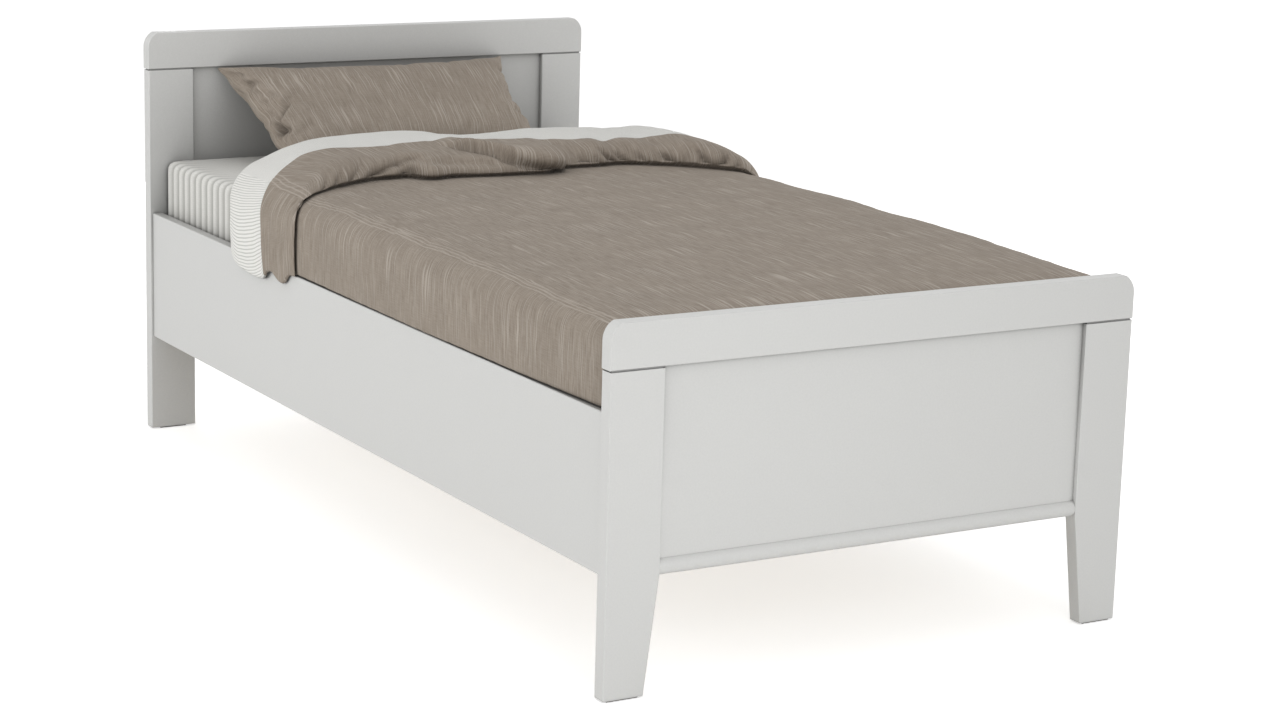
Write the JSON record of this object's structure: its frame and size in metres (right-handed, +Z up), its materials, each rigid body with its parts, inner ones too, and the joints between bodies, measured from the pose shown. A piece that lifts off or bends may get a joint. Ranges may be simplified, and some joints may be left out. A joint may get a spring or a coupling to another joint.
{
  "type": "single bed",
  "caption": "Single bed with a white framed headboard and footboard, hook-in side rails, slatted base, ribbed mattress, pillow and a duvet with its head end turned back.",
  "frame": {"origin": "on the floor under the middle of the bed", "axes": "+Y towards the headboard, +Z up, +X to the right when standing at the foot and facing the head"},
  "size_m": [1.083, 2.072, 0.882],
  "materials": {
    "painted_wood": "satin white lacquer",
    "beech": "bare",
    "pine": "bare, planed",
    "birch_slat": "sanded laminate",
    "zinc_steel": "zinc plated",
    "slat_cap": "matt black",
    "felt": "felt",
    "foam": "foam",
    "mattress_fabric": "quilted knit",
    "duvet_fabric": "slub cotton",
    "pillow_fabric": "slub cotton"
  },
  "bodies": {
    "frame": {"head_leg_right": "painted_wood", "head_leg_left": "painted_wood", "foot_leg_right": "painted_wood", "foot_leg_left": "painted_wood", "head_top_rail": "painted_wood", "foot_top_rail": "painted_wood", "head_panel": "painted_wood", "foot_panel": "painted_wood", "head_low_rail": "painted_wood", "foot_bead_rail": "painted_wood", "head_loose_tenons": "beech", "foot_loose_tenons": "beech", "leg_pads": "felt", "hook_plate_head_right": "zinc_steel", "hook_plate_head_left": "zinc_steel", "hook_plate_foot_right": "zinc_steel", "hook_plate_foot_left": "zinc_steel", "slot_plate_head_right": "zinc_steel", "slot_plate_head_left": "zinc_steel", "slot_plate_foot_right": "zinc_steel", "slot_plate_foot_left": "zinc_steel", "hook_plate_screws": "zinc_steel", "slot_plate_screws": "zinc_steel", "ledge_screws": "zinc_steel", "side_rail_right": "painted_wood", "side_rail_left": "painted_wood", "ledge_right": "pine", "ledge_left": "pine"},
    "slatted_base": {"base_side_right": "pine", "base_side_left": "pine", "base_end_head": "pine", "base_end_foot": "pine", "slat_01": "birch_slat", "slat_02": "birch_slat", "slat_03": "birch_slat", "slat_04": "birch_slat", "slat_05": "birch_slat", "slat_06": "birch_slat", "slat_07": "birch_slat", "slat_08": "birch_slat", "slat_09": "birch_slat", "slat_10": "birch_slat", "slat_11": "birch_slat", "slat_12": "birch_slat", "slat_13": "birch_slat", "slat_14": "birch_slat", "slat_holders_right": "slat_cap", "slat_holders_left": "slat_cap"},
    "mattress": {"mattress_core": "foam", "mattress_cover": "mattress_fabric"},
    "duvet": {"duvet": "duvet_fabric"},
    "pillow": {"pillow": "pillow_fabric"}
  },
  "joints": [
    {"name": "slatted_base_lift", "type": "slide", "parent": "frame", "child": "slatted_base", "axis": [0, 0, 1], "range_m": [0, 0.56]},
    {"name": "mattress_lift", "type": "slide", "parent": "slatted_base", "child": "mattress", "axis": [0, 0, 1], "range_m": [0, 0.5]},
    {"name": "duvet_lift", "type": "slide", "parent": "mattress", "child": "duvet", "axis": [0, 0, 1], "range_m": [0, 0.46]},
    {"name": "pillow_lift", "type": "slide", "parent": "mattress", "child": "pillow", "axis": [0, 0, 1], "range_m": [0, 0.3]}
  ]
}
